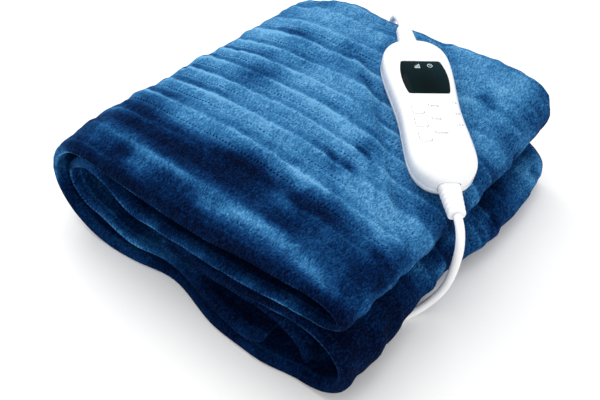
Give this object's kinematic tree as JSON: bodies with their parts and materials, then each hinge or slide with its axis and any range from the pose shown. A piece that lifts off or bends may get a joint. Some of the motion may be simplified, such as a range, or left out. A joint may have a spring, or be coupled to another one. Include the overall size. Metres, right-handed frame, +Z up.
{
  "type": "electric heated blanket",
  "caption": "Ribbed plush electric blanket folded into a pack, with its slim hand control lying across one corner and its white leads.",
  "frame": {"origin": "on the surface that the pack rests on, under the middle of the folded blanket", "axes": "+X along the pack's near side towards the folds that the hand control points over, +Y away from the near side along the folds, +Z up"},
  "size_m": [0.3162, 0.4107, 0.1237],
  "materials": {
    "blanket_cloth": "deep blue plush flannel pile",
    "handset_shell": "satin white moulding",
    "display_glass": "glossy dark display window",
    "button_caps": "white push buttons",
    "lead_sheath": "white flexible sheath and strain reliefs",
    "plug_moulding": "white moulded plug",
    "plug_pins": "plain metal pins",
    "tie_strap": "grey hook-and-loop strap"
  },
  "bodies": {
    "pack": {"blanket": "blanket_cloth", "handset_upper_shell": "handset_shell", "handset_lower_shell": "handset_shell", "display_window": "display_glass", "relief_near": "lead_sheath", "relief_far": "lead_sheath", "blanket_lead": "lead_sheath", "blanket_connector": "lead_sheath", "mains_lead": "lead_sheath", "mains_coil": "lead_sheath", "coil_tie": "tie_strap", "plug_lead": "lead_sheath", "plug_relief": "lead_sheath", "plug_body": "plug_moulding", "plug_pin_left": "plug_pins", "plug_pin_right": "plug_pins"},
    "heat_button": {"button_heat": "button_caps"},
    "timer_button": {"button_timer": "button_caps"},
    "power_button": {"button_power": "button_caps"}
  },
  "joints": [
    {"name": "heat_press", "type": "slide", "parent": "pack", "child": "heat_button", "axis": [-0.1394, 0.0177, -0.9901], "range_m": [0, 0.0006], "stiffness_N_per_m": 800, "springref_m": -0.0004},
    {"name": "timer_press", "type": "slide", "parent": "pack", "child": "timer_button", "axis": [-0.1394, 0.0177, -0.9901], "range_m": [0, 0.0006], "stiffness_N_per_m": 800, "springref_m": -0.0004},
    {"name": "power_press", "type": "slide", "parent": "pack", "child": "power_button", "axis": [-0.1394, 0.0177, -0.9901], "range_m": [0, 0.0006], "stiffness_N_per_m": 800, "springref_m": -0.0004}
  ]
}
